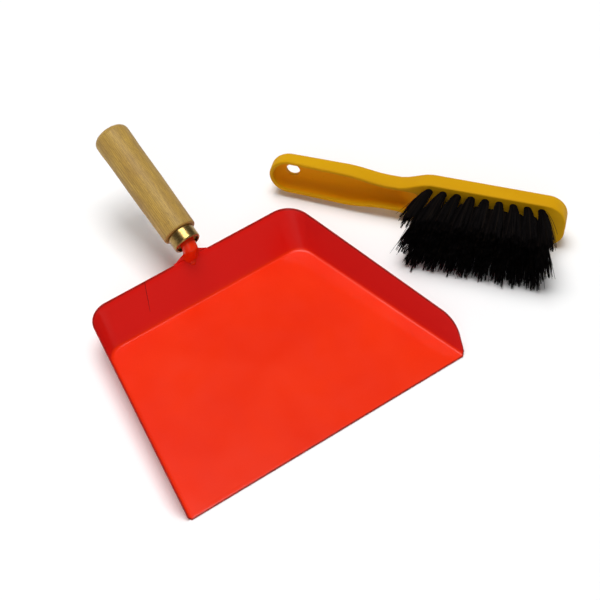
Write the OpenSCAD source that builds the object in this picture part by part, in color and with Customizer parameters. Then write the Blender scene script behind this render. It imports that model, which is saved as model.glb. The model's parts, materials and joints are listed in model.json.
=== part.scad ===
// Dust pan and brush set.
// A pressed sheet-steel pan with a turned wooden grip on a steel tang, and a hand
// brush whose one-piece plastic body holds staggered rows of bristle tufts.
// Millimetres. +X is across the pan, +Y runs from its lip to its handle and +Z is up.
// The origin is the middle of the pan's floor, on the surface that the set lies on.

/* [Pan] */
// Width of the mouth at the lip
lip_w = 220; // [180:5:260]
// Width of the floor at the back
back_w = 160; // [130:5:180]
// Length of the floor from the lip to the back wall
floor_l = 141; // [120:1:180]
// Height of the walls at the back
wall_h = 28; // [24:1:34]
// Height of the side walls where their front corner starts
front_h = 23; // [18:1:24]
// Outward lean of the side walls
side_lean = 12; // [4:1:20]
// Outward lean of the back wall
back_lean = 31; // [20:1:38]
// Thickness of the sheet
sheet_t = 0.9; // [0.7:0.1:1.2]
// Radius of the floor's two back corners
floor_corner_r = 13; // [8:1:18]
// Radius of the same corners at the top edge
top_corner_r = 18; // [14:1:24]
// Outside radius of the bend between floor and walls
bend_r = 3; // [2:0.5:4]
// Slope of each side wall's front edge
front_slope = 58; // [45:1:70]
// Radius that joins the front edge to the top edge
front_corner_r = 22; // [12:1:26]

/* [Pan handle] */
// Height of the ferrule's mouth above the floor
mouth_z = 38.3; // [36:0.1:40]
// Distance of the ferrule's mouth behind the floor's back edge
mouth_back = 18.9; // [18:0.1:20]
// Upward tilt of the handle
handle_tilt = 16.5; // [14:0.5:20]
// Length from the ferrule's mouth to the grip's end
handle_l = 99; // [90:1:130]
// Diameter of the grip at its thickest
grip_d = 25.3; // [23:0.1:30]
// Diameter of the ferrule
ferrule_d = 19.3; // [18.6:0.1:21]
// Length of the ferrule
ferrule_l = 9.5; // [8:0.5:14]
// Diameter of the steel tang
tang_d = 10.5; // [9:0.1:11]
// Width of the tang's flattened tab
tab_w = 20; // [16:1:24]
// Thickness of the tab
tab_t = 2; // [1.5:0.1:2.4]

/* [Brush] */
// Length of the brush body
brush_l = 208.5; // [205:0.5:214]
// Width of the bristle block
block_w = 36; // [35:0.5:40]
// Width of the handle at its end
brush_handle_w = 28.5; // [27:0.5:31]
// Width of the waist between handle and block
waist_w = 22; // [20:0.5:26]
// Depth of the body at the block
block_d = 14; // [13.5:0.5:16]
// Depth of the body at the handle's end
handle_end_d = 11.5; // [11:0.5:13]
// Width of the rim round the handle's channel
rim_t = 2.8; // [2.4:0.2:3.2]
// Thickness of the plate behind the channel
plate_t = 3; // [2.6:0.2:3.4]
// Diameter of the hanging hole
hang_d = 10; // [6:0.5:10]
// Radius of the body's back edges
back_edge_r = 4; // [2:0.5:5]

/* [Bristles] */
// Rows of tufts across the block
tuft_rows = 4; // [2:1:4]
// Tufts in each odd row, one more than in each even row
row_tufts = 9; // [5:1:9]
// Distance between tufts along a row
tuft_pitch = 9.75; // [8:0.05:9.9]
// Distance between rows
row_pitch = 7.9; // [7:0.1:8]
// Diameter of each tuft's hole
tuft_hole_d = 5.5; // [4:0.1:5.8]
// Depth of each tuft's hole
tuft_hole_h = 9; // [7:0.5:10]
// Length of the bristles beyond the block
bristle_l = 41; // [30:1:46]
// Radius of a tuft at its tip
tuft_tip_r = 5.2; // [3.5:0.1:5.2]
// How far the end tufts fan out along the brush
fan_along = 10; // [6:0.5:12]
// How far the outer rows fan out across it
fan_across = 6; // [5:0.5:6]

/* [Hidden] */
// Clearance between pieces that are fitted together
fit_gap = 0.05;
// Overshoot of a cut beyond the solid it opens
cut = 1;

// Pan, worked out
corner_steps = 8;
bend_steps = 4;
front_run = front_h / tan(front_slope);
front_tangent = front_corner_r * tan(front_slope / 2);

// Pan handle, worked out: the tang bends from the handle's tilt to the wall's lean
tang_r = tang_d / 2;
tang_bend_r = 7;
tang_turn = 90 - back_lean - handle_tilt;
tang_bend_start = 2;
tang_bore_start = tang_bend_start + tang_bend_r;
tang_wall = 1.2;
tang_depth = 52;
stem_end = 0.5;
mouth_y = floor_l / 2 + mouth_back;
wall_l = wall_h / cos(back_lean);
tab_rise = 2.5;
tab_shoulder_r = 1.2;
tab_l = 16;
wing_reach = 3;
wing_w = tab_w + 2 * wing_reach;
wing_edge = 1.5;
rivet_down = 4.2;
rivet_r = 1.5;
rivet_head_r = 2.2;
rivet_head_h = 0.9;
ferrule_t = 0.7;
mouth_lip = 1.6;
spigot_start = 2.2;
spigot_r = ferrule_d / 2 - ferrule_t - fit_gap;
grip_r = grip_d / 2;
grip_end_r = 6.5;
grip_shoulder_r = 1.2;
grip_mid_swell = 0.4;
grip_end_swell = 0.3;

// Brush, worked out
brush_x = 98.9;
brush_y = 130.7;
brush_turn = -50.1;
brush_tilt = 6;
brush_lift = -back_edge_r * (cos(brush_tilt) + sin(brush_tilt) - 1);
mid_d = 14.5;
front_edge_r = 1.2;
narrow_edge_share = 0.9;
block_corner_r = 14;
waist_from = 54;
waist_to = 84;
block_from = 90.5;
block_to = 114.5;
channel_from = rim_t;
channel_to = 109;
channel_rise = 22;
channel_end_h = 1;
scoop_end_r = 6;
hang_x = 15;
tuft_first_x = 113.4;
tuft_r = tuft_hole_d / 2 - fit_gap;
anchor_h = 1.6;
anchor_t = 0.5;
block_mid_x = tuft_first_x + tuft_pitch * (row_tufts - 1) / 2;
TUFTS = [
    for (row = [0 : tuft_rows - 1])
        for (i = [0 : row_tufts - 1 - row % 2])
            [
                tuft_first_x + (i + (row % 2) / 2) * tuft_pitch,
                ((tuft_rows - 1) / 2 - row) * row_pitch
            ]
];
TUFT_NAMES = [for (i = [1 : len(TUFTS)]) str("tuft_", i < 10 ? "0" : "", i)];

// ---- Shared shapes ----

// 0 before a, 1 after b and a smooth step between
function smooth(a, b, v) =
    let (k = min(1, max(0, (v - a) / (b - a))))
    k * k * (3 - 2 * k);

// A point on an arc
function arc_point(centre, r, angle) = [centre[0] + r * cos(angle), centre[1] + r * sin(angle)];

// A closed solid through a list of rings with the same number of points each
module loft(rings) {
    n = len(rings[0]);
    last = len(rings) - 1;
    sides = [
        for (k = [0 : last - 1])
            for (i = [0 : n - 1])
                let (j = (i + 1) % n)
                each [
                    [k * n + i, (k + 1) * n + i, (k + 1) * n + j],
                    [k * n + i, (k + 1) * n + j, k * n + j]
                ]
    ];
    first_cap = [[for (i = [0 : n - 1]) i]];
    last_cap = [[for (i = [n - 1 : -1 : 0]) last * n + i]];
    polyhedron(points = [for (ring = rings) each ring], faces = concat(sides, first_cap, last_cap));
}

// ---- Pan ----

// Angle that each side of the floor makes with the pan's centre line
taper = atan((lip_w - back_w) / 2 / floor_l);

// How far a wall stands outside its crease at a height, with a bend of radius r below it
function wall_out(z, lean, r) =
    z < r * (1 - sin(lean))
        ? r * sin(acos(1 - max(0, z) / r)) - r * tan((90 - lean) / 2)
        : z * tan(lean);

// The same for the face of the sheet that lies t inside the outer one
function face_out(z, lean, t) =
    wall_out(z - t, lean, bend_r - t) + t * tan(lean) - t / cos(lean);

// Outline of the tray at one height: straight sides, round back corners and an open front
function tray_ring(z, t, front) =
    let (
        side = lip_w / 2 * cos(taper) - floor_l / 2 * sin(taper) + face_out(z, side_lean, t),
        back = floor_l / 2 + face_out(z, back_lean, t),
        r = floor_corner_r + (top_corner_r - floor_corner_r) * z / wall_h
            + min(0, face_out(z, back_lean, t)),
        centre = [(side - r - (back - r) * sin(taper)) / cos(taper), back - r],
        arc = [
            for (k = [0 : corner_steps])
                arc_point(centre, r, taper + (90 - taper) * k / corner_steps)
        ],
        front_x = (side - front * sin(taper)) / cos(taper)
    )
    concat(
        [[front_x, front, z]],
        [for (p = arc) [p[0], p[1], z]],
        [for (k = [corner_steps : -1 : 0]) [-arc[k][0], arc[k][1], z]],
        [[-front_x, front, z]]
    );

// The tray as a solid block, with its faces moved in by t
module tray_block(t, front, top) {
    r = bend_r - t;
    bend = [for (k = [0 : bend_steps]) t + r * (1 - cos(90 * k / bend_steps))];
    loft([for (z = concat(bend, [wall_h / 2, top])) tray_ring(z, t, front)]);
}

// Side view of the pan: the front edges slope up from the lip and round into the top edge
module side_view() {
    lip_y = -floor_l / 2;
    arc_centre = [lip_y + front_run + front_tangent, front_h - front_corner_r];
    front_arc = [
        for (k = [0 : corner_steps])
            arc_point(arc_centre, front_corner_r, 90 + front_slope * (1 - k / corner_steps))
    ];
    polygon(concat(
        [[lip_y, -cut], [lip_y, 0]],
        front_arc,
        [[floor_l / 2, wall_h], [floor_l, wall_h], [floor_l, -cut]]
    ));
}

// Places a piece on the back wall: +Z runs up the wall and +Y points out of it
module on_back_wall() {
    translate([0, floor_l / 2, 0])
        rotate([-back_lean, 0, 0])
            children();
}

// A round hole or shank through the wall and the tab, at the rivet
module at_rivet() {
    on_back_wall()
        translate([0, 0, wall_l - rivet_down])
            rotate([-90, 0, 0])
                children();
}

module pan_shell() {
    lip_y = -floor_l / 2;
    color("orangered")
        difference() {
            intersection() {
                tray_block(0, lip_y - cut, wall_h + cut);
                rotate([90, 0, 90])
                    linear_extrude(lip_w + wall_h, center = true)
                        side_view();
            }
            tray_block(sheet_t, lip_y - 2 * cut, wall_h + 2 * cut);
            at_rivet()
                cylinder(r = rivet_r + fit_gap, h = 4 * sheet_t, center = true, $fn = 32);
        }
}

// ---- Pan handle ----

// Places a piece on the handle: the ferrule's mouth is at 0 and +Z runs up the grip
module on_handle() {
    translate([0, mouth_y, mouth_z])
        rotate([handle_tilt - 90, 0, 0])
            children();
}

// Places a piece in the plane of the tang's bend, with the bend's centre at 0
module at_bend() {
    on_handle()
        translate([0, tang_bend_r, tang_bend_start])
            rotate([-90, 0, -90])
                children();
}

// Round steel tang: a tube inside the grip, then a solid bend that is pressed flat
// into a tab behind the back wall
module handle_tang() {
    shoulder_x = tab_w / 2 - tab_shoulder_r;
    shoulder_z = wall_l + tab_rise - tab_shoulder_r;
    color("crimson")
        difference() {
            union() {
                on_handle()
                    translate([0, 0, tang_bend_start])
                        cylinder(r = tang_r, h = tang_depth - tang_bend_start, $fn = 48);
                at_bend()
                    rotate_extrude(angle = tang_turn, $fn = 96)
                        translate([tang_bend_r, 0])
                            circle(r = tang_r, $fn = 48);
                hull() {
                    at_bend()
                        rotate([0, 0, tang_turn])
                            translate([tang_bend_r, 0, 0])
                                rotate([90, 0, 0])
                                    cylinder(r = tang_r, h = 2 * stem_end, center = true, $fn = 32);
                    on_back_wall()
                        for (side = [-1, 1])
                            translate([side * shoulder_x, fit_gap, shoulder_z])
                                rotate([-90, 0, 0])
                                    cylinder(r = tab_shoulder_r, h = tab_t, $fn = 24);
                }
                on_back_wall()
                    translate([0, fit_gap + tab_t, wall_l])
                        rotate([90, 0, 0])
                            linear_extrude(tab_t)
                                tab_outline();
            }
            on_handle()
                translate([0, 0, tang_bore_start])
                    cylinder(r = tang_r - tang_wall, h = tang_depth, $fn = 48);
            at_rivet()
                cylinder(r = rivet_r + fit_gap, h = 4 * tab_t, center = true, $fn = 32);
        }
}

// The tab: straight sides, a round lower end and a wing on each side at the wall's top
module tab_outline() {
    straight = tab_l - tab_w / 2;
    top_w = tab_w - 2 * tab_shoulder_r;
    translate([-tab_w / 2, -straight])
        square([tab_w, straight]);
    translate([0, -straight])
        circle(d = tab_w, $fn = 64);
    polygon([
        [-wing_w / 2, -wing_edge],
        [wing_w / 2, -wing_edge],
        [wing_w / 2, 0],
        [top_w / 2, tab_rise],
        [-top_w / 2, tab_rise],
        [-wing_w / 2, 0]
    ]);
}

// Solid rivet through wall and tab, with a low domed head inside the pan
module tang_rivet() {
    dome_r = (pow(rivet_head_h, 2) + pow(rivet_head_r, 2)) / (2 * rivet_head_h);
    grip_l = sheet_t + 2 * fit_gap + tab_t;
    color("crimson")
        at_rivet() {
            translate([0, 0, -sheet_t - fit_gap])
                cylinder(r = rivet_r, h = grip_l + fit_gap, $fn = 32);
            translate([0, 0, tab_t + 2 * fit_gap])
                cylinder(r1 = rivet_head_r, r2 = rivet_r, h = rivet_head_h, $fn = 32);
            intersection() {
                translate([0, 0, dome_r - rivet_head_h - sheet_t - fit_gap])
                    sphere(r = dome_r, $fn = 48);
                translate([0, 0, -rivet_head_h - sheet_t - fit_gap])
                    cylinder(r = rivet_head_r, h = rivet_head_h, $fn = 32);
            }
        }
}

// Brass ring with a rounded, turned-in mouth
module ferrule() {
    r = ferrule_d / 2;
    edge_r = 1;
    edge = [for (k = [0 : 4]) arc_point([r - edge_r, edge_r], edge_r, -90 + 90 * k / 4)];
    color("goldenrod")
        on_handle()
            rotate_extrude($fn = 96)
                polygon(concat(
                    [[r - mouth_lip, 0]],
                    edge,
                    [
                        [r, ferrule_l],
                        [r - ferrule_t, ferrule_l],
                        [r - ferrule_t, ferrule_t],
                        [r - mouth_lip, ferrule_t]
                    ]
                ));
}

// Radius of the grip along its length, where k runs from the ferrule (0) to the end (1)
function grip_radius(k) =
    grip_r
        - grip_mid_swell * (1 - smooth(0, 0.5, k))
        - grip_end_swell * (1 - smooth(0.8, 0.95, k));

// Turned grip: a spigot in the ferrule, a slightly swelling body and a domed end
module wooden_grip() {
    body_start = ferrule_l + fit_gap;
    body_end = handle_l - grip_end_r;
    body_steps = 12;
    dome_h = 1.2;
    r0 = grip_radius(0);
    flat_r = grip_r - grip_end_r;
    shoulder = [
        for (k = [0 : 4])
            arc_point([r0 - grip_shoulder_r, body_start + grip_shoulder_r], grip_shoulder_r, -90 + 90 * k / 4)
    ];
    body = [
        for (k = [1 : body_steps - 1])
            [
                grip_radius(k / body_steps),
                body_start + grip_shoulder_r + (body_end - body_start - grip_shoulder_r) * k / body_steps
            ]
    ];
    end_edge = [
        for (k = [0 : corner_steps])
            [
                flat_r + grip_end_r * cos(90 * k / corner_steps),
                body_end + (grip_end_r - dome_h) * sin(90 * k / corner_steps)
            ]
    ];
    dome = [for (k = [3 : -1 : 0]) [flat_r * k / 4, handle_l - dome_h * pow(k / 4, 2)]];
    color("burlywood")
        on_handle()
            difference() {
                rotate_extrude($fn = 96)
                    polygon(concat(
                        [[0, spigot_start], [spigot_r, spigot_start], [spigot_r, body_start]],
                        shoulder,
                        body,
                        end_edge,
                        dome
                    ));
                cylinder(r = tang_r + fit_gap, h = tang_depth + cut, $fn = 48);
            }
}

// ---- Brush ----

// Places a piece on the brush: +X runs from the handle's end to the block, +Y across
// it and +Z from its back towards the bristles, with the brush lying on its side
module on_brush() {
    translate([brush_x, brush_y, brush_lift])
        rotate([90 - brush_tilt, 0, brush_turn])
            translate([0, block_w / 2, 0])
                children();
}

// Half of the handle's width along the brush, down to the waist and on at the waist's width
function handle_half_w(x) =
    (brush_handle_w + (waist_w - brush_handle_w) * smooth(waist_from, waist_to, x)) / 2;

// Half of the body's width along the brush, before its ends are rounded
function straight_half_w(x) =
    handle_half_w(x) + (block_w - waist_w) / 2 * smooth(block_from, block_to, x);

// Half of the body's width, with a round handle end and two round corners at the block
function body_half_w(x) =
    let (
        end_r = brush_handle_w / 2,
        block_x = x - brush_l + block_corner_r
    )
    x < end_r ? sqrt(pow(end_r, 2) - pow(end_r - x, 2))
    : block_x > 0 ? straight_half_w(x) - block_corner_r + sqrt(pow(block_corner_r, 2) - pow(block_x, 2))
    : straight_half_w(x);

// Depth of the body, from its back to its rim or bristle face
function body_d(x) =
    handle_end_d
        + (mid_d - handle_end_d) * smooth(0, waist_to, x)
        + (block_d - mid_d) * smooth(block_from, block_to, x);

// How far a rounded edge of radius r stands back, d inside the end that it rounds
function edge_back(d, r) = d < r ? r - sqrt(pow(r, 2) - pow(r - d, 2)) : 0;

// Section of the body at one place along it
function body_ring(x) =
    let (
        w = body_half_w(x),
        d = body_d(x),
        back = edge_back(min(x, brush_l - x), back_edge_r),
        rb = min(back_edge_r, narrow_edge_share * w),
        rf = front_edge_r,
        back_arc = [for (k = [0 : 4]) arc_point([w - rb, back + rb], rb, -90 + 90 * k / 4)],
        front_arc = [for (k = [0 : 2]) arc_point([w - rf, d - rf], rf, 90 * k / 2)],
        right = concat(back_arc, front_arc),
        n = len(right)
    )
    concat(
        [for (p = right) [x, p[0], p[1]]],
        [for (i = [n - 1 : -1 : 0]) [x, -right[i][0], right[i][1]]]
    );

// Section of the channel in the handle's underside: a rounded scoop, open at the rim,
// whose floor rises to the block's face at its far end
function channel_ring(x) =
    let (
        end_r = brush_handle_w / 2,
        w = x < end_r
            ? sqrt(pow(end_r - rim_t, 2) - pow(end_r - x, 2))
            : handle_half_w(x) - rim_t - edge_back(channel_to - x, scoop_end_r),
        d = body_d(x),
        rise = smooth(channel_to - channel_rise, channel_to, x),
        floor_z = plate_t
            + edge_back(x - channel_from, scoop_end_r)
            + (d - plate_t - channel_end_h) * rise,
        scoop = [
            for (a = [180 : 15 : 360])
                [w * sign(cos(a)) * sqrt(abs(cos(a))), d - (d - floor_z) * sqrt(abs(sin(a)))]
        ]
    )
    concat(
        [for (p = scoop) [x, p[0], p[1]]],
        [[x, w, d + cut], [x, -w, d + cut]]
    );

// Yellow moulding: scooped handle, waist, and a block with a blind hole for each tuft
module brush_body() {
    end_r = brush_handle_w / 2;
    step = 6;
    block_arc_x = brush_l - block_corner_r;
    handle_end = [for (a = [12 : 12 : 84]) end_r * (1 - cos(a))];
    middle = [for (x = [end_r : step : block_arc_x - 1]) x];
    block_end = [for (a = [0 : 15 : 90]) block_arc_x + block_corner_r * sin(a)];
    channel_end = [for (a = [24 : 12 : 84]) end_r - (end_r - rim_t) * cos(a)];
    channel_middle = [for (x = [end_r : step : channel_to - scoop_end_r]) x];
    channel_stop = [for (a = [30 : 30 : 90]) channel_to - scoop_end_r * (1 - sin(a))];
    color("gold")
        on_brush()
            difference() {
                loft([for (x = concat(handle_end, middle, block_end)) body_ring(x)]);
                loft([for (x = concat(channel_end, channel_middle, channel_stop)) channel_ring(x)]);
                translate([hang_x, 0, -cut])
                    cylinder(d = hang_d, h = plate_t + 2 * cut, $fn = 48);
                for (tuft = TUFTS)
                    translate([tuft[0], tuft[1], block_d - tuft_hole_h])
                        cylinder(d = tuft_hole_d, h = tuft_hole_h + cut, $fn = 32);
            }
}

// A round ring of points at a height
function round_ring(centre, r, z) =
    [for (a = [0 : 15 : 345]) concat(arc_point(centre, r, a), z)];

// One tuft: a round root in its hole, and bristles that spread towards their tips
module tuft(place) {
    along = fan_along * (place[0] - block_mid_x) / (tuft_pitch * (row_tufts - 1) / 2);
    across = fan_across * place[1] / (row_pitch * (tuft_rows - 1) / 2);
    color("black")
        on_brush()
            loft([
                round_ring(place, tuft_r, block_d - tuft_hole_h + anchor_h + fit_gap),
                round_ring(place, tuft_r, block_d),
                round_ring(place + [along, across], tuft_tip_r, block_d + bristle_l)
            ]);
}

// Flat wire staples that hold the folded bristles at the bottom of each hole
module tuft_anchors() {
    anchor_w = tuft_hole_d - 4 * fit_gap;
    color("silver")
        on_brush()
            for (place = TUFTS)
                translate([
                    place[0] - anchor_t / 2,
                    place[1] - anchor_w / 2,
                    block_d - tuft_hole_h
                ])
                    cube([anchor_t, anchor_w, anchor_h]);
}

// ---- Nodes ----

pan_shell();
handle_tang();
tang_rivet();
ferrule();
wooden_grip();
brush_body();
tuft_anchors();
for (i = [0 : len(TUFTS) - 1])
    tuft(TUFTS[i]);
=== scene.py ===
"""The looks of a dust pan and brush set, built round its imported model, in the model's frame."""
import json
import math

import bmesh
import bpy
import numpy as np
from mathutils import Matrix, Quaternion, Vector


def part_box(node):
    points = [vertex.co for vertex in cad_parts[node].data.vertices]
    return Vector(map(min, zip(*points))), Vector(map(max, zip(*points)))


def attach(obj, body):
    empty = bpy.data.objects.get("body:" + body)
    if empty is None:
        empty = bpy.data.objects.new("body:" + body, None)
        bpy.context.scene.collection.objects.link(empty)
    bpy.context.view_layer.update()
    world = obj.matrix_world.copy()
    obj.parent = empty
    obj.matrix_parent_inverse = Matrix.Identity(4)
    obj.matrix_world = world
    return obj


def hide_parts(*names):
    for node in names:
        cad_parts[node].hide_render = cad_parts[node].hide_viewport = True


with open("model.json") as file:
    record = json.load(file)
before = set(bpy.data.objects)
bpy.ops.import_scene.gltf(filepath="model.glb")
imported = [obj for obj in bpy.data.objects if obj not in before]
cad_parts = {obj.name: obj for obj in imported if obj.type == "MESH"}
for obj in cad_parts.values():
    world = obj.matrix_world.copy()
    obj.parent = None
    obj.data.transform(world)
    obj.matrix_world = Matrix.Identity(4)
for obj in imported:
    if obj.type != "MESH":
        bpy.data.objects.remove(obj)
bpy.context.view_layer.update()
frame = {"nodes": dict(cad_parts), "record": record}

# Shapes are worked out in millimetres and stored in metres
MM = 0.001

# Pan
LIP_W = 220
BACK_W = 160
FLOOR_L = 141
FRONT_H = 23
SIDE_LEAN = math.radians(12)
BACK_LEAN = math.radians(31)
SHEET_T = 0.9
FLOOR_CORNER_R = 13
TOP_CORNER_R = 18
BEND_R = 3
FRONT_SLOPE = math.radians(58)
FRONT_CORNER_R = 22
LIP_CORNER_R = 1.4

# Pan handle
HANDLE_TILT = math.radians(16.5)
HANDLE_L = 99
FERRULE_L = 9.5
FERRULE_R = 9.65
FERRULE_T = 0.7
FERRULE_SHORT = 0.03
FERRULE_DENT = 0.04
MOUTH_R = 8.05
MOUTH_EDGE_R = 1.1
GRIP_R = 12.65
GRIP_END_R = 6.5
GRIP_DOME_H = 1.2
GRIP_WAIST = 0.7
GRIP_SWELL = 0.4
SHOULDER_R = 1.2
SPIGOT_START = 2.2
SPIGOT_R = 8.85
SPIGOT_CHAMFER = 0.4
BORE_TOP = 20
TANG_R = 5.25
TANG_BEND_R = 7
TANG_BEND_START = 2
TANG_TOP = 14
TAB_W = 20
TAB_T = 2
TAB_L = 16
WING_W = 26.4
WING_H = 5.5
TONGUE_L = 5
TONGUE_W = 15.5
FIT_GAP = 0.05
RIVET_DOWN = 4.2
RIVET_R = 1.5
RIVET_HEAD_R = 2.2
RIVET_HEAD_H = 0.9

# A fine dark line down the inside of the back wall
DARK_LINE_X = -43.8
DARK_LINE_SLANT = 0.21
DARK_LINE_WANDER = 1.0
DARK_LINE_HALF_W = 0.22
DARK_LINE_LOW = 10.5

# Brush. Places along it are from the handle's end. The channel's sides follow the body's as far as
# CHANNEL_TURN and close in a round stop at CHANNEL_TO. Its floor rises over the last CHANNEL_RISE.
BRUSH_L = 208.5
BLOCK_W = 36
BRUSH_HANDLE_W = 28.5
WAIST_W = 22
BLOCK_D = 14
MID_D = 14.5
HANDLE_END_D = 11.5
RIM_T = 2.8
PLATE_T = 3
HANG_X = 15
HANG_R = 5
BACK_EDGE_R = 4
FRONT_EDGE_R = 1.2
BLOCK_CORNER_R = 14
WAIST_FROM, WAIST_TO = 54, 84
BLOCK_FROM, BLOCK_TO = 90.5, 114.5
CHANNEL_TURN = 88
CHANNEL_TO = 109
CHANNEL_RISE = 22
CHANNEL_END_R = 7
CHANNEL_END_H = 1
CHANNEL_LIP_R = 0.7
CHANNEL_FLOOR_R = 6.5
CHANNEL_DRAFT = 0.3

# Bristles
TUFT_ROWS = 4
ROW_TUFTS = 9
TUFT_PITCH = 9.75
ROW_PITCH = 7.9
TUFT_FIRST_X = 113.4
TUFT_HOLE_R = 2.75
TUFT_HOLE_H = 9
TUFT_TIP_R = 5.9
FAN_LEFT = 7.6
FAN_RIGHT = 9
FAN_ACROSS = 6
BRISTLE_L = 41
BRISTLE_R = 0.19
STRANDS = 220
STRAND_SIDES = 3
CLUMPS = 26
CLUMPING = 0.75
STRAND_SPREAD = 0.35
STRAY_SHARE = 0.04
STRAY_SPREAD = 2.6
CLUMP_SHIFT = 0.5
CLUMP_TRIM = -0.01
CLUMP_LENGTHS = 0.035
STRAND_LENGTHS = 0.012
STRAND_BOW = 0.5
STRAND_TAPER = 0.35
STRAND_ROOT = -0.17
FIRST_SEED = 40
GOLDEN_ANGLE = math.radians(137.5)

# Stage, lights and camera, in metres and degrees, with the lens and its sensor in millimetres
FLOOR_SIZE = 30
FLOOR_DROP = 0.0002
TARGET = Vector((0.0502, 0.0321, 0))
VIEW_AZIMUTH = -36.65
VIEW_ELEVATION = 50.32
VIEW_ROLL = 0.33
VIEW_DISTANCE = 1.3104
LENS = 116.7
SENSOR_W = 36
CLIP_END = 50
LIGHT_DISTANCE = 8
LIGHT_SIZE = 4.8

# Grey of the surround at heights from the horizon (0) to straight up (1)
SKY_GREYS = ((0, 0.9), (0.15, 0.3), (0.5, 0.12))


# ---- Numbers and meshes ----


def smooth(a, b, v):
    """0 before a, 1 after b and a smooth step between."""
    k = np.clip((np.asarray(v, float) - a) / (b - a), 0, 1)
    return k * k * (3 - 2 * k)


def unit(v):
    """Vectors along the last axis, at length 1."""
    v = np.asarray(v, float)
    return v / np.maximum(np.linalg.norm(v, axis=-1, keepdims=True), 1e-12)


def span(node, direction):
    """Lowest and highest reach of a CAD node along a direction, in millimetres."""
    points = np.array([v.co for v in frame["nodes"][node].data.vertices])
    reach = points @ np.asarray(direction, float) / MM
    return reach.min(), reach.max()


# The model's own frame, as a place: an origin and three axes
MODEL_FRAME = ((0, 0, 0), (1, 0, 0), (0, 1, 0), (0, 0, 1))


def placed(points, place):
    """Points in a piece's own frame, moved to the model's frame. place is (origin, x, y, z)."""
    origin, x, y, z = (np.asarray(v, float) for v in place)
    p = np.asarray(points, float)
    return origin + p[..., :1] * x + p[..., 1:2] * y + p[..., 2:3] * z


def store_local(mesh, place):
    """Keeps each vertex's place in the piece's own frame, in millimetres, for the materials."""
    origin, *axes = (np.asarray(v, float) for v in place)
    points = np.array([v.co for v in mesh.vertices]) / MM - origin
    layer = mesh.attributes.new("local", "FLOAT_VECTOR", "POINT")
    layer.data.foreach_set("vector", (points @ np.array(axes).T).astype(np.float32).ravel())


def quads(rows, cols, closed):
    """Faces of a grid of points that is rows by cols, closed along its columns or not."""
    faces = []
    for r in range(rows - 1):
        for c in range(cols if closed else cols - 1):
            d = (c + 1) % cols
            faces.append((r * cols + c, r * cols + d, (r + 1) * cols + d, (r + 1) * cols + c))
    return faces


def store_mask(piece, name, values):
    """Keeps a number for each vertex, for the materials to read."""
    layer = piece.data.attributes.new(name, "FLOAT", "POINT")
    layer.data.foreach_set("value", np.asarray(values, np.float32))


def mesh_object(name, points, faces, place=MODEL_FRAME):
    """A closed mesh object with its normals outwards, from points in millimetres in a piece's own frame."""
    mesh = bpy.data.meshes.new(name)
    mesh.from_pydata((placed(points, place) * MM).tolist(), [], [tuple(map(int, f)) for f in faces])
    mesh.validate()
    shape = bmesh.new()
    shape.from_mesh(mesh)
    bmesh.ops.recalc_face_normals(shape, faces=shape.faces)
    shape.to_mesh(mesh)
    shape.free()
    piece = bpy.data.objects.new(name, mesh)
    bpy.context.scene.collection.objects.link(piece)
    return piece


def finished(piece, place, material, body, nodes, sharp=40):
    """Shades a piece, gives it its material and slot, and puts it on a body in place of CAD nodes."""
    piece.data.shade_smooth()
    piece.data.set_sharp_from_angle(angle=math.radians(sharp))
    store_local(piece.data, place)
    piece.data.materials.clear()
    piece.data.materials.append(material)
    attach(piece, body)
    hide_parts(*nodes)


def lathe(profile, steps=96, closed=False):
    """Points and faces of a turned piece, from (radius, height) points. A radius of 0 makes a point, and
    a closed profile goes on from its last point to its first."""
    turn = np.linspace(0, 2 * np.pi, steps, endpoint=False)
    points, rings = [], []
    for r, z in profile:
        ring = [[0, 0, z]] if r < 1e-6 else np.stack([r * np.cos(turn), r * np.sin(turn), 0 * turn + z], 1)
        rings.append(range(len(points), len(points) + len(ring)))
        points.extend(ring)
    faces = []
    for a, b in zip(rings, rings[1:] + rings[:1] if closed else rings[1:]):
        for i in range(steps):
            j = (i + 1) % steps
            corners = (a[i % len(a)], a[j % len(a)], b[j % len(b)], b[i % len(b)])
            faces.append(tuple(dict.fromkeys(corners)))
    return points, faces


def arc(centre, r, from_deg, to_deg, steps):
    """Points on an arc."""
    angles = np.radians(np.linspace(from_deg, to_deg, steps))
    return [(centre[0] + r * math.cos(a), centre[1] + r * math.sin(a)) for a in angles]


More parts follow.
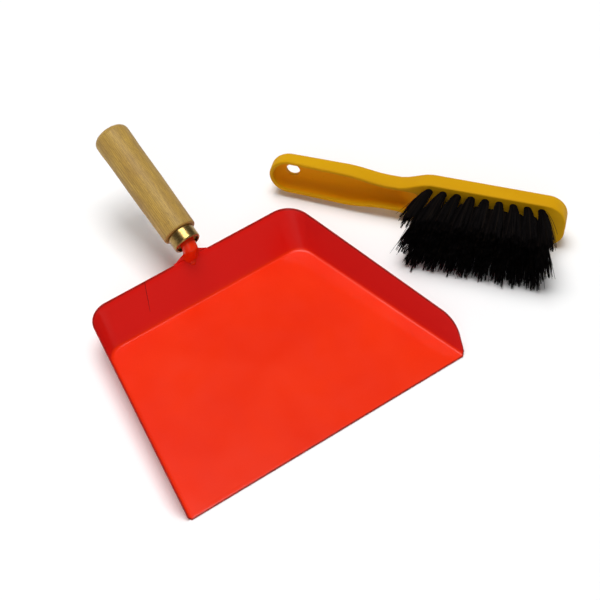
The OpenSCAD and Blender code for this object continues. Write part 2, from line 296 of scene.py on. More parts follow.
def thick_sheet(points, faces, t, rim_steps=5):
    """A sheet from the points and faces of its outer face: the same face t further in, and a half-round rim
    between the two. Returns points, faces and which points are on the rim, as 0 or 1."""
    normals = np.zeros_like(points)
    for f in faces:
        a, b, c = points[f[0]], points[f[1]], points[f[2]]
        normal = np.cross(b - a, c - a) + np.cross(c - a, points[f[-1]] - a)
        for v in f:
            normals[v] += normal
    normals = unit(normals)
    edges = {(a, b) for f in faces for a, b in zip(f, f[1:] + f[:1])}
    rim = [(a, b) for a, b in edges if (b, a) not in edges]
    away = np.zeros_like(points)
    for a, b in rim:
        side = unit(np.cross(points[b] - points[a], normals[a] + normals[b]))
        away[a] += side
        away[b] += side
    away = unit(away)
    on_rim = sorted({v for edge in rim for v in edge})
    place_on_rim = {v: i for i, v in enumerate(on_rim)}
    n = len(points)
    inner = points - t * normals
    layers = [points, inner]
    for s in range(1, rim_steps):
        angle = math.pi * s / rim_steps
        share = (1 - math.cos(angle)) / 2
        between = points[on_rim] * (1 - share) + inner[on_rim] * share
        layers.append(between + away[on_rim] * t / 2 * math.sin(angle))

    def rim_point(step, v):
        """Index of the point beside v: step 0 is on the outer face, and the last is on the inner face."""
        if step in (0, rim_steps):
            return v if step == 0 else v + n
        return 2 * n + (step - 1) * len(on_rim) + place_on_rim[v]

    made = list(faces) + [tuple(v + n for v in reversed(f)) for f in faces]
    for a, b in rim:
        for s in range(rim_steps):
            made.append((rim_point(s, b), rim_point(s, a), rim_point(s + 1, a), rim_point(s + 1, b)))
    near = np.zeros(2 * n)
    near[on_rim] = 1
    near[[v + n for v in on_rim]] = 1
    return np.concatenate(layers), made, np.concatenate([near, np.ones((rim_steps - 1) * len(on_rim))])


# ---- Materials ----

# Places of a Mix node's colour sockets
MIX_FAC, MIX_A, MIX_B, MIX_RESULT = 0, 6, 7, 2


def set_stops(elements, stops):
    """Gives a colour ramp its stops, in order."""
    while len(elements) < len(stops):
        elements.new(0.5)
    for element, (place, colour) in zip(elements, stops):
        element.position = place
        element.color = (*colour, 1) if isinstance(colour, tuple) else (colour, colour, colour, 1)


class Shader:
    """A material's node tree, with short calls for the nodes that these materials use."""

    def __init__(self, name):
        self.material = bpy.data.materials.new(name)
        self.material.use_nodes = True
        self.tree = self.material.node_tree
        self.bsdf = self.tree.nodes["Principled BSDF"]

    def set(self, **sockets):
        """Sets the surface's own sockets. An underscore stands for a space."""
        for name, value in sockets.items():
            self.bsdf.inputs[name.replace("_", " ")].default_value = value

    def feed(self, socket, source):
        """Links one of the surface's sockets."""
        self.tree.links.new(source, self.bsdf.inputs[socket])

    def put(self, socket, value):
        """Links a socket when the value is another node's output, and sets it otherwise."""
        if isinstance(value, bpy.types.NodeSocket):
            self.tree.links.new(value, socket)
        else:
            socket.default_value = value

    def node(self, kind, inputs=(), **settings):
        """A node with its settings and inputs."""
        made = self.tree.nodes.new(kind)
        for key, value in settings.items():
            setattr(made, key, value)
        for socket, value in dict(inputs).items():
            self.put(made.inputs[socket], value)
        return made

    def attribute(self, name, output="Fac"):
        """A number or a vector that is kept for each vertex."""
        return self.node("ShaderNodeAttribute", attribute_name=name).outputs[output]

    def local(self, scale=(1, 1, 1)):
        """The piece's own coordinates in millimetres, times scale."""
        vector = self.attribute("local", "Vector")
        return self.node("ShaderNodeMapping", {"Vector": vector, "Scale": scale}).outputs[0]

    def noise(self, vector, scale, detail=3.0, roughness=0.5):
        """Noise from 0 to 1, with scale features to each unit of the vector."""
        inputs = {"Vector": vector, "Scale": scale, "Detail": detail, "Roughness": roughness}
        return self.node("ShaderNodeTexNoise", inputs).outputs[0]

    def ramp(self, fac, stops):
        """A colour ramp. Each stop is (place, grey) or (place, (r, g, b))."""
        made = self.node("ShaderNodeValToRGB", {"Fac": fac})
        set_stops(made.color_ramp.elements, stops)
        return made.outputs[0]

    def mix(self, fac, a, b, blend="MIX"):
        """Colour a where fac is 0 and b where it is 1. A colour is a node's output or (r, g, b)."""
        made = self.node("ShaderNodeMix", data_type="RGBA", blend_type=blend)
        self.put(made.inputs[MIX_FAC], fac)
        for socket, value in ((MIX_A, a), (MIX_B, b)):
            self.put(made.inputs[socket], (*value, 1) if isinstance(value, tuple) else value)
        return made.outputs[MIX_RESULT]

    def math(self, operation, *values):
        """The result of a Math node."""
        return self.node("ShaderNodeMath", enumerate(values), operation=operation).outputs[0]

    def bump(self, height, distance):
        """Bump of a height from 0 to 1, where 1 is distance in millimetres."""
        inputs = {"Height": height, "Distance": distance * MM, "Strength": 1.0}
        self.feed("Normal", self.node("ShaderNodeBump", inputs).outputs[0])


def enamel():
    """Glossy orange-red enamel on steel, with orange peel, scuffs, worn edges and a fine dark line down the
    back wall. Painted shade makes the walls deeper, the side walls darker still, and the raw edges darker.
    """
    s = Shader("enamel")
    s.set(Coat_Weight=0.10, Coat_Roughness=0.12, Coat_IOR=1.40, IOR=1.25)
    here = s.local()
    cloudy = s.noise(here, 0.018, detail=2)
    colour = s.ramp(cloudy, [(0.3, (0.78, 0.022, 0.0015)), (0.7, (0.84, 0.030, 0.0025))])
    # Painted shade: the walls are deeper crimson than the floor
    colour = s.mix(s.attribute("wall"), colour, (0.76, 0.009, 0.0045))
    # Painted shade: the side walls darker and greyer than the back wall
    colour = s.mix(s.attribute("side_wall_shade"), colour, (0.70, 0.019, 0.017))
    fine = s.noise(here, 1.6, detail=4, roughness=0.7)
    colour = s.mix(s.ramp(fine, [(0.35, 0.0), (0.75, 0.14)]), colour, (0.60, 0.012, 0.002))
    scuffs = s.ramp(s.noise(s.local((0.5, 6, 2)), 0.25, detail=5, roughness=0.75), [(0.68, 0.0), (0.76, 1.0)])
    colour = s.mix(s.math("MULTIPLY", scuffs, 0.25), colour, (0.88, 0.10, 0.05))
    colour = s.mix(back_wall_dark_line(s), colour, (0.10, 0.004, 0.003))
    # The raw edge is darker, partly worn thin paint and partly painted shade that also hides its highlight
    thin_paint_and_shade = s.ramp(s.noise(here, 0.35, detail=4), [(0.35, 0.50), (0.68, 0.82)])
    rim = s.ramp(s.attribute("rim"), [(0.6, 0.0), (0.95, 1.0)])
    colour = s.mix(s.math("MULTIPLY", rim, thin_paint_and_shade), colour, (0.12, 0.012, 0.008))
    s.feed("Base Color", colour)
    rough = s.ramp(s.noise(here, 0.05, detail=3), [(0.3, 0.20), (0.7, 0.27)])
    s.feed("Roughness", s.math("ADD", rough, s.math("MULTIPLY", scuffs, 0.15)))
    dents = s.noise(here, 0.022, detail=1)
    peel = s.noise(here, 0.55, detail=2)
    s.bump(s.mix(0.04, dents, peel), 0.22)
    return s.material


def back_wall_dark_line(s):
    """A fine, wandering dark line down the inside of the back wall, fainter lower down."""
    split = s.node("ShaderNodeSeparateXYZ", {"Vector": s.local()})
    x, y, z = split.outputs
    wander = s.math("MULTIPLY", s.noise(s.local((0, 0, 1)), 0.5, detail=3), DARK_LINE_WANDER)
    middle = s.math("ADD", s.math("MULTIPLY_ADD", z, DARK_LINE_SLANT, DARK_LINE_X), wander)
    near = s.math("LESS_THAN", s.math("ABSOLUTE", s.math("SUBTRACT", x, middle)), DARK_LINE_HALF_W)
    high = s.math("GREATER_THAN", z, DARK_LINE_LOW)
    behind = s.math("GREATER_THAN", y, float(CREASE_Y))
    fade = s.ramp(s.math("DIVIDE", z, float(WALL_H)), [(0.3, 0.25), (0.6, 0.8)])
    return s.math("MULTIPLY", s.math("MULTIPLY", near, high), s.math("MULTIPLY", behind, fade))


def brass():
    """Drawn brass under old lacquer: fine rings from the lathe, darker stains and small dents."""
    s = Shader("brass")
    s.set(Metallic=1.0)
    here = s.local()
    stain = s.noise(here, 0.35, detail=4, roughness=0.6)
    colour = s.ramp(stain, [(0.3, (0.22, 0.13, 0.04)), (0.55, (0.36, 0.24, 0.08)), (0.8, (0.52, 0.39, 0.15))])
    s.feed("Base Color", colour)
    rings = s.noise(s.local((0.15, 0.15, 7)), 1.0, detail=3)
    s.feed("Roughness", s.ramp(rings, [(0.3, 0.24), (0.7, 0.34)]))
    s.bump(s.mix(0.3, rings, s.noise(here, 0.5)), 0.012)
    return s.material


def beech():
    """Turned beech: long fine grain, short dark rays, warm patches and a thin satin varnish."""
    s = Shader("beech")
    s.set(Coat_Weight=0.05, Coat_Roughness=0.35, IOR=1.35)
    warped = s.mix(0.35, s.local((1, 1, 0.10)), s.noise(s.local((1, 1, 0.25)), 0.12), "ADD")
    growth = s.node("ShaderNodeTexWave", {
        "Vector": warped, "Scale": 0.34, "Distortion": 2.2, "Detail": 3.0, "Detail Scale": 0.6,
    }, bands_direction="X", wave_profile="SIN").outputs[0]
    base = s.ramp(growth, [
        (0.0, (0.44, 0.265, 0.044)), (0.55, (0.52, 0.325, 0.062)), (1.0, (0.58, 0.375, 0.082)),
    ])
    patch = s.noise(s.local((1, 1, 0.35)), 0.09, detail=3)
    base = s.mix(s.ramp(patch, [(0.45, 0.0), (0.72, 0.6)]), base, (0.36, 0.20, 0.048))
    grain = s.noise(s.local((2.6, 2.6, 0.10)), 1.0, detail=5, roughness=0.65)
    base = s.mix(s.ramp(grain, [(0.42, 0.65), (0.60, 0.0)]), base, (0.26, 0.155, 0.045))
    rays = s.noise(s.local((4.5, 4.5, 0.40)), 1.0, detail=2)
    base = s.mix(s.ramp(rays, [(0.60, 0.0), (0.68, 0.75)]), base, (0.18, 0.100, 0.030))
    s.feed("Base Color", base)
    s.feed("Roughness", s.ramp(grain, [(0.3, 0.62), (0.7, 0.48)]))
    s.bump(s.mix(0.5, grain, rays), 0.08)
    return s.material


def yellow_plastic():
    """Moulded golden-yellow plastic, with flow marks, specks, scuffs and a soft sheen. The handle's channel
    is painted more orange, as painted bounce light in its recess.
    """
    s = Shader("yellow_plastic")
    s.set(IOR=1.15)
    here = s.local()
    flow = s.noise(s.local((0.25, 1, 1)), 0.06, detail=3)
    colour = s.ramp(flow, [(0.3, (0.58, 0.285, 0.0018)), (0.7, (0.64, 0.335, 0.0025))])
    # Painted bounce light: the channel's recess more orange
    colour = s.mix(s.attribute("channel"), colour, (0.76, 0.315, 0.0012))
    speck = s.ramp(s.noise(here, 0.9, detail=3), [(0.68, 0.0), (0.78, 0.5)])
    colour = s.mix(speck, colour, (0.36, 0.14, 0.001))
    s.feed("Base Color", colour)
    rough = s.ramp(s.noise(here, 0.12, detail=3), [(0.3, 0.50), (0.7, 0.60)])
    scuffs = s.ramp(s.noise(s.local((0.3, 3, 3)), 0.5, detail=5, roughness=0.7), [(0.62, 0.0), (0.72, 0.15)])
    s.feed("Roughness", s.math("ADD", rough, scuffs))
    s.bump(s.noise(here, 1.3, detail=3), 0.015)
    return s.material


def bristle():
    """Black bristle with a faint sheen. Each one is a little lighter or browner than the next."""
    s = Shader("bristle")
    s.set(IOR=1.08)
    each = s.node("ShaderNodeNewGeometry").outputs["Random Per Island"]
    shades = [(0.0, (0.0032, 0.0026, 0.0028)), (0.8, (0.0055, 0.0045, 0.0048)), (1.0, (0.015, 0.010, 0.007))]
    s.feed("Base Color", s.ramp(each, shades))
    s.feed("Roughness", s.ramp(each, [(0.0, 0.60), (1.0, 0.80)]))
    return s.material


def drawn_wire():
    """Flat drawn steel wire."""
    s = Shader("drawn_wire")
    s.set(Metallic=1.0)
    here = s.node("ShaderNodeTexCoord").outputs["Object"]
    s.feed("Base Color", s.ramp(s.noise(here, 900.0), [(0.3, (0.42, 0.41, 0.40)), (0.7, (0.58, 0.57, 0.55))]))
    s.feed("Roughness", s.ramp(s.noise(here, 2500.0), [(0.3, 0.25), (0.7, 0.42)]))
    return s.material


def pale_floor():
    """The plain pale floor under the set."""
    s = Shader("pale_floor")
    s.set(Base_Color=(0.95, 0.95, 0.95, 1), Roughness=0.9, IOR=1.2)
    return s.material


# ---- Pan tray ----

TAPER = math.atan((LIP_W - BACK_W) / 2 / FLOOR_L)
PAN_LOW, PAN_HIGH = (np.array(corner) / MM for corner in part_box("pan_shell"))
LIP_Y = PAN_LOW[1]
WALL_H = PAN_HIGH[2]
CREASE_Y = PAN_HIGH[1] - WALL_H * math.tan(BACK_LEAN)
FRONT_TOP_D = FRONT_H / math.tan(FRONT_SLOPE) + FRONT_CORNER_R * math.tan(FRONT_SLOPE / 2)
SLOPE_END_D = FRONT_TOP_D - FRONT_CORNER_R * math.sin(FRONT_SLOPE)

# Points in a wall's bend and again above it, and the height of the wall where it dies out at the lip
WALL_STEPS = 9
LIP_WALL_H = 0.3
# Where the columns of the back wall and of the floor stand, as shares of the half width
BACK_SHARES = (0.985, 0.95, 0.88, 0.75, 0.6, 0.4, 0.2, 0.15, 0)


def wall_out(z, lean):
    """How far a wall's outer face stands outside its crease at height z."""
    bend_top = BEND_R * (1 - math.sin(lean))
    foot = BEND_R * math.tan((math.pi / 2 - lean) / 2)
    in_bend = np.sqrt(np.maximum(BEND_R**2 - (BEND_R - z) ** 2, 0)) - foot
    return np.where(z < bend_top, in_bend, z * math.tan(lean))


def outline_at(z):
    """The outline at height z: places of the side and back walls, and the corner's radius and centre."""
    side = LIP_W / 2 * math.cos(TAPER) + LIP_Y * math.sin(TAPER) + wall_out(z, SIDE_LEAN)
    back = CREASE_Y + wall_out(z, BACK_LEAN)
    r = FLOOR_CORNER_R + (TOP_CORNER_R - FLOOR_CORNER_R) * z / WALL_H
    x = (side - r - (back - r) * math.sin(TAPER)) / math.cos(TAPER)
    return side, back, r, x, back - r


def side_edge(d):
    """Height and slope of a side wall's edge, d behind the lip: a slope, a round corner and a slow rise."""
    if d < SLOPE_END_D:
        return d * math.tan(FRONT_SLOPE), FRONT_SLOPE
    if d < FRONT_TOP_D:
        slope = math.asin((FRONT_TOP_D - d) / FRONT_CORNER_R)
        return FRONT_H - FRONT_CORNER_R * (1 - math.cos(slope)), slope
    rise = math.atan((WALL_H - FRONT_H) / (FLOOR_L - FRONT_TOP_D))
    return min(FRONT_H + (d - FRONT_TOP_D) * math.tan(rise), WALL_H), rise


def wall_levels(height):
    """Heights of the points up a wall: close together in the bend, lower on a low wall, and even above it."""
    squeeze = min(1, height / (2 * BEND_R))
    bend = BEND_R * (1 - np.cos(np.linspace(0, math.pi / 2 - SIDE_LEAN, WALL_STEPS))) * squeeze
    return np.concatenate([bend, np.linspace(bend[-1], height, WALL_STEPS)[1:]])


def tray_columns():
    """Columns of points up the outer face of the tray's wall, from the lip to the middle of the back, and how
    many of them come before the flat part of the back."""
    half_t = SHEET_T / 2
    corner_y = float(outline_at(0.0)[4]) + FLOOR_CORNER_R * math.sin(TAPER)
    straight_l = corner_y - LIP_Y
    _, _, top_r, _, top_centre_y = (float(v) for v in outline_at(WALL_H))
    top_shift = top_centre_y + top_r * math.sin(TAPER) - corner_y
    slope_d = np.linspace(0, SLOPE_END_D, 6)[:-1]
    round_d = FRONT_TOP_D - FRONT_CORNER_R * np.sin(np.linspace(FRONT_SLOPE, 0, 12))
    side_d = np.concatenate([slope_d, round_d, np.linspace(FRONT_TOP_D, straight_l, 15)[1:]])
    columns = []
    for d in side_d:
        share = max(0, (d - FRONT_TOP_D) / (straight_l - FRONT_TOP_D))
        edge, slope = side_edge(d + share * top_shift)
        z = wall_levels(max(edge - half_t * math.cos(slope), LIP_WALL_H))
        side, _, r, _, centre_y = outline_at(z)
        shift = share * (centre_y + r * math.sin(TAPER) - corner_y)
        y = LIP_Y + max(d + half_t * math.sin(slope), half_t) + shift
        columns.append(np.stack([(side - y * math.sin(TAPER)) / math.cos(TAPER), y, z], 1))
    for angle in np.linspace(TAPER, math.pi / 2, 19)[1:]:
        edge, _ = side_edge(min(top_centre_y + top_r * math.sin(angle) - LIP_Y, FLOOR_L))
        z = wall_levels(edge - half_t)
        _, back, r, centre_x, centre_y = outline_at(z)
        columns.append(np.stack([centre_x + r * math.cos(angle), centre_y + r * math.sin(angle), z], 1))
    before_back = len(columns)
    # The flat back keeps the levels of the corner's last column
    for share in BACK_SHARES:
        columns.append(np.stack([centre_x * share, back, z], 1))
    return np.array(columns), before_back


def round_lip_corner(points):
    """Rounds the two front corners of the sheet in plan."""
    lip_turn = math.acos(1 - LIP_WALL_H / BEND_R)
    tip = LIP_W / 2 - BEND_R * (math.tan((math.pi / 2 - SIDE_LEAN) / 2) - math.sin(lip_turn))
    inside = np.clip(tip - np.abs(points[:, 0]), 0, LIP_CORNER_R)
    back = LIP_CORNER_R - np.sqrt(LIP_CORNER_R**2 - (LIP_CORNER_R - inside) ** 2)
    points[:, 1] += np.where(points[:, 1] < LIP_Y + SHEET_T, back, 0)


def pan_tray(material):
    """The pressed tray: floor, bends, leaning walls and a half-round raw edge all round. Its masks tell the
    enamel where the rim and the walls are."""
    right, before_back = tray_columns()
    ring = np.concatenate([right, right[-2::-1] * [-1, 1, 1]])
    count, height = ring.shape[:2]
    points = list(ring.reshape(-1, 3))
    faces = [tuple(reversed(f)) for f in quads(count, height, closed=False)]
    shares = BACK_SHARES + tuple(-share for share in BACK_SHARES[-2::-1])
    floor_rows = []
    for r in range(before_back - 1):
        row = [r * height]
        for share in shares:
            row.append(len(points))
            points.append(ring[r, 0] * [share, 1, 1])
        floor_rows.append(row + [(count - 1 - r) * height])
    floor_rows.append([c * height for c in range(before_back - 1, count - before_back + 1)])
    for a, b in zip(floor_rows, floor_rows[1:]):
        for i in range(len(a) - 1):
            faces.append((a[i], a[i + 1], b[i + 1], b[i]))
    points = np.array(points)
    round_lip_corner(points)
    points, faces, near_rim = thick_sheet(points, faces, SHEET_T)
    piece = mesh_object("pan_tray", points, faces)
    beside_tang = smooth(WING_W / 2 - 2, WING_W / 2 + 1, np.abs(points[:, 0]))
    # Rim mask for the edge's darkening, partly wear and partly painted shade; it is left out beside the tang
    store_mask(piece, "rim", np.where(points[:, 1] > CREASE_Y + BEND_R, near_rim * beside_tang, near_rim))
    # The wall masks give the walls their painted shade, deeper than the floor
    wall_shade = smooth(1, 3.5, points[:, 2])
    store_mask(piece, "wall", wall_shade)
    # Painted shade on the side walls, fading in past the back's corners
    store_mask(piece, "side_wall_shade", wall_shade * smooth(BACK_W / 2 - 10, BACK_W / 2 + 8, np.abs(points[:, 0])))
    finished(piece, MODEL_FRAME, material, "pan", ["pan_shell"], sharp=75)


# ---- Pan handle ----

UP_HANDLE = np.array([0, math.cos(HANDLE_TILT), math.sin(HANDLE_TILT)])
UNDER_HANDLE = np.array([0, math.sin(HANDLE_TILT), -math.cos(HANDLE_TILT)])
MOUTH = UP_HANDLE * span("ferrule", UP_HANDLE)[0] + UNDER_HANDLE * sum(span("ferrule", UNDER_HANDLE)) / 2
ON_HANDLE = (MOUTH, (1, 0, 0), UNDER_HANDLE, UP_HANDLE)
UP_WALL = np.array([0, math.sin(BACK_LEAN), math.cos(BACK_LEAN)])
OUT_OF_WALL = np.array([0, math.cos(BACK_LEAN), -math.sin(BACK_LEAN)])
WALL_FOOT = np.array([0, CREASE_Y, 0])
WALL_L = WALL_H / math.cos(BACK_LEAN)


def bend_rings(cos, sin):
    """Round rings of the tang, from inside the grip to the end of its bend."""
    stem = (TANG_TOP, TANG_BEND_START + 4, TANG_BEND_START)
    centres = [(MOUTH + UP_HANDLE * up, UNDER_HANDLE) for up in stem]
    bend_centre = MOUTH + UP_HANDLE * TANG_BEND_START + UNDER_HANDLE * TANG_BEND_R
    for angle in np.linspace(0, math.pi / 2 - BACK_LEAN - HANDLE_TILT, 8)[1:]:
        spoke = UNDER_HANDLE * math.cos(angle) + UP_HANDLE * math.sin(angle)
        centres.append((bend_centre - spoke * TANG_BEND_R, spoke))
    return [centre + TANG_R * (cos * [1, 0, 0] + sin * spoke) for centre, spoke in centres]


def pressed_half_w(h):
    """Half width of the pressed tang at a height above the wall's top edge."""
    if h > 0:
        return TANG_R + (WING_W / 2 - TANG_R) * max(0, 1 - h / WING_H) ** 1.8
    below_centre = TAB_W / 2 - TAB_L - h
    if below_centre > 0:
        return math.sqrt(max(0, (TAB_W / 2) ** 2 - below_centre**2))
    return TAB_W / 2 + (WING_W - TAB_W) / 2 * float(smooth(-3, 0, h))


def pressed_ring(h, top, cos, sin):
    """Section of the tang where it is pressed: a round middle that dies out in front of the wall, between two
    wings that stand on the wall's top edge and go over into the tab behind it. top is the bend's end."""
    top_h, top_out = top
    k = (top_h - h) / (top_h + TONGUE_L)
    half_w = pressed_half_w(h)
    round_w = TANG_R + (TONGUE_W / 2 - TANG_R) * smooth(0.15, 0.7, k)
    behind = 1 - smooth(-0.6, 0.6, h)
    formed = smooth(0, 0.4, k)
    on_edge_front, on_edge_back = -0.95 * SHEET_T, -0.1 * SHEET_T
    wing_front = top_out + (on_edge_front - top_out) * formed + (FIT_GAP - on_edge_front) * behind
    wing_back = top_out + (on_edge_back - top_out) * formed + (FIT_GAP + TAB_T - on_edge_back) * behind
    front = top_out - TANG_R + (TANG_R - SHEET_T - top_out) * smooth(0, 1, k)
    back = top_out + TANG_R + (FIT_GAP + TAB_T - top_out - TANG_R) * smooth(0, 0.5, k)
    x = half_w * cos
    middle = np.clip(1 - (x / round_w) ** 2, 0, 1) ** (0.5 + 1.7 * smooth(0.1, 0.7, k))
    front = wing_front + np.minimum(front - wing_front, 0) * middle
    back = wing_back + np.maximum(back - wing_back, 0) * middle
    edge = np.minimum(np.abs(sin) * half_w / SHEET_T, 1) ** 0.5
    between = (wing_front + wing_back) / 2
    out = between + (np.where(sin > 0, back, front) - between) * edge
    return WALL_FOOT + UP_WALL * (WALL_L + h) + OUT_OF_WALL * out + x * [1, 0, 0]


def handle_tang(material, sides=96):
    """The steel tang: round in the ferrule, bent to the wall's lean and pressed flat into a tab behind it."""
    turn = np.linspace(0, 2 * np.pi, sides, endpoint=False)[:, None]
    cos, sin = np.cos(turn), np.sin(turn)
    rings = bend_rings(cos, sin)
    bend_end = rings[-1].mean(0) - WALL_FOOT
    top = (bend_end @ UP_WALL - WALL_L, bend_end @ OUT_OF_WALL)
    tab_centre = TAB_W / 2 - TAB_L
    heights = list(np.linspace(top[0], -TONGUE_L, 30)[1:]) + [tab_centre]
    heights += [tab_centre - TAB_W / 2 * math.sin(a) for a in np.radians([15, 30, 45, 58, 70, 80, 86])]
    rings += [pressed_ring(h, top, cos, sin) for h in heights]
    n = len(rings)
    faces = quads(n, sides, closed=True) + [tuple(range(sides)), tuple(range((n - 1) * sides, n * sides))]
    points = np.concatenate(rings)
    piece = mesh_object("pan_tang", points, faces)
    # The wings and tab take the walls' painted shade, and the round stem keeps the floor's red
    below_stem = 1 - smooth(-TONGUE_L, -1, (points - WALL_FOOT) @ UP_WALL - WALL_L)
    store_mask(piece, "wall", np.maximum(smooth(4.5, 8, np.abs(points[:, 0])), below_stem))
    finished(piece, MODEL_FRAME, material, "pan", ["handle_tang"], sharp=65)


def tang_rivet(material):
    """The painted rivet: a low dome inside the tray and a flatter tail behind the tab."""
    at_wall = WALL_FOOT + UP_WALL * (WALL_L - RIVET_DOWN)
    place = (at_wall, (1, 0, 0), UP_WALL, OUT_OF_WALL)
    inside = -SHEET_T - FIT_GAP
    behind = 2 * FIT_GAP + TAB_T
    tail_h = 0.8 * RIVET_HEAD_H
    quarter = np.linspace(0, math.pi / 2, 9)
    head = [(RIVET_HEAD_R * math.sin(a), inside - RIVET_HEAD_H * math.cos(a)) for a in quarter]
    tail = [(RIVET_HEAD_R * math.cos(a), behind + tail_h * math.sin(a)) for a in quarter[:-1]]
    shank = [(RIVET_R, inside), (RIVET_R, behind)]
    points, faces = lathe(head + shank + tail + [(0, behind + tail_h)], steps=40)
    piece = mesh_object("pan_rivet", points, faces, place)
    finished(piece, MODEL_FRAME, material, "pan", ["tang_rivet"])


def ferrule(material):
    """The brass ring, with a rounded, turned-in mouth and a slightly rounded back edge."""
    inner = FERRULE_R - FERRULE_T
    end = FERRULE_L - FERRULE_SHORT
    mouth = [(MOUTH_R + 0.1, 0.75), (MOUTH_R, 0.45), (MOUTH_R + 0.2, 0.12)]
    mouth += arc((FERRULE_R - MOUTH_EDGE_R, MOUTH_EDGE_R), MOUTH_EDGE_R, -90, 0, 7)
    outside = [(FERRULE_R, 3), (FERRULE_R - FERRULE_DENT, 5), (FERRULE_R, 7), (FERRULE_R, end - 0.25)]
    back = [(FERRULE_R - 0.08, end - 0.07), (FERRULE_R - 0.25, end), (inner, end)]
    turned_in = [(inner, 1.4), (inner - 0.35, 0.85)]
    points, faces = lathe(mouth + outside + back + turned_in, closed=True)
    piece = mesh_object("pan_ferrule", points, faces, ON_HANDLE)
    finished(piece, ON_HANDLE, material, "pan", ["ferrule"])


def grip_radius(k):
    """Radius of the grip along its length, from the ferrule (0) to the end (1)."""
    end_swell = GRIP_WAIST - GRIP_SWELL
    return float(GRIP_R - GRIP_WAIST + GRIP_SWELL * smooth(0, 0.5, k) + end_swell * smooth(0.8, 0.95, k))


def wooden_grip(material):
    """The turned beech grip: its spigot in the ferrule, a slight swell and a domed end."""
    start = FERRULE_L + FIT_GAP
    end = HANDLE_L - GRIP_END_R
    bore_r = TANG_R + FIT_GAP
    flat_r = GRIP_R - GRIP_END_R
    chamfer_top = SPIGOT_START + SPIGOT_CHAMFER
    profile = [(0, BORE_TOP), (bore_r, BORE_TOP), (bore_r, chamfer_top)]
    profile += [(bore_r + SPIGOT_CHAMFER, SPIGOT_START), (SPIGOT_R - 0.45, SPIGOT_START)]
    profile += [(SPIGOT_R, chamfer_top), (SPIGOT_R, start)]
    profile += arc((grip_radius(0) - SHOULDER_R, start + SHOULDER_R), SHOULDER_R, -90, 0, 6)
    for k in np.linspace(0, 1, 40)[1:-1]:
        profile.append((grip_radius(k), start + SHOULDER_R + (end - start - SHOULDER_R) * k))
    for a in np.linspace(0, math.pi / 2, 12):
        profile.append((flat_r + GRIP_END_R * math.cos(a), end + (GRIP_END_R - GRIP_DOME_H) * math.sin(a)))
    profile += [(flat_r * k, HANDLE_L - GRIP_DOME_H * k**2) for k in (0.75, 0.5, 0.25, 0)]
    points, faces = lathe(profile, steps=112)
    piece = mesh_object("pan_grip", points, faces, ON_HANDLE)
    finished(piece, ON_HANDLE, material, "pan", ["wooden_grip"], sharp=35)


# ---- Brush ----


def brush_place():
    """The brush's own frame: +X from the handle's end to the block, +Y across, +Z towards the bristles."""
    mount = next(m for m in frame["record"]["mounts"] if m["name"] == "hanging_hole")
    out = unit(-np.array(mount["axis"], float))
    along = unit(np.cross((0, 0, 1), out))
    across = np.cross(out, along)
    hole = np.array(mount["pos_m"]) / MM
    return hole - along * HANG_X - out * PLATE_T / 2, along, across, out


ON_BRUSH = brush_place()


def handle_half_w(x):
    """Half of the handle's width along the brush, down to the waist and on at the waist's width."""
    return float(BRUSH_HANDLE_W + (WAIST_W - BRUSH_HANDLE_W) * smooth(WAIST_FROM, WAIST_TO, x)) / 2


def straight_half_w(x):
    """Half of the body's width along the brush, before its ends are rounded."""
    return handle_half_w(x) + (BLOCK_W - WAIST_W) / 2 * float(smooth(BLOCK_FROM, BLOCK_TO, x))


def body_depth(x):
    """Depth of the body, from its back to its rim or bristle face."""
    rise = (MID_D - HANDLE_END_D) * smooth(0, WAIST_TO, x)
    return HANDLE_END_D + rise + (BLOCK_D - MID_D) * smooth(BLOCK_FROM, BLOCK_TO, x)


def handle_side():
    """The +Y side of the handle's outline in plan, from the middle of its round end to the channel's turn."""
    end_r = BRUSH_HANDLE_W / 2
    round_end = [(end_r * (1 - math.cos(a)), end_r * math.sin(a)) for a in np.linspace(0, math.pi / 2, 17)]
    straight = [(x, straight_half_w(x)) for x in np.linspace(end_r, CHANNEL_TURN, 38)[1:]]
    return np.array(round_end + straight)


def block_side():
    """The rest of the +Y side of the outline, to the middle of the block's end."""
    corner_x = BRUSH_L - BLOCK_CORNER_R
    sides = [(x, straight_half_w(x)) for x in np.linspace(CHANNEL_TURN, corner_x, 26)[1:]]
    corner = arc((corner_x, BLOCK_W / 2 - BLOCK_CORNER_R), BLOCK_CORNER_R, 90, 0, 14)
    return np.array(sides + corner[1:] + [(BRUSH_L, 0)])


def mirrored(half):
    """A closed outline from its +Y half, whose first and last points are on the centre line."""
    return np.concatenate([half, half[-2:0:-1] * [1, -1]])


def inset(outline, d):
    """A closed outline moved in by d."""
    tangent = unit(np.roll(outline, -1, 0) - np.roll(outline, 1, 0))
    return outline + d * np.stack([tangent[:, 1], -tangent[:, 0]], 1)


def body_rings():
    """Rings up the outside of the body: a round back edge, a straight wall and a round front edge."""
    outline = mirrored(np.concatenate([handle_side(), block_side()]))
    depth = body_depth(outline[:, 0])
    rings = []
    for a in np.linspace(0, math.pi / 2, 8):
        z = np.full(len(outline), BACK_EDGE_R * (1 - math.cos(a)))
        rings.append(np.column_stack([inset(outline, BACK_EDGE_R * (1 - math.sin(a))), z]))
    for a in np.linspace(math.pi / 2, 0, 6):
        z = depth - FRONT_EDGE_R * (1 - math.cos(a))
        rings.append(np.column_stack([inset(outline, FRONT_EDGE_R * (1 - math.sin(a))), z]))
    return rings


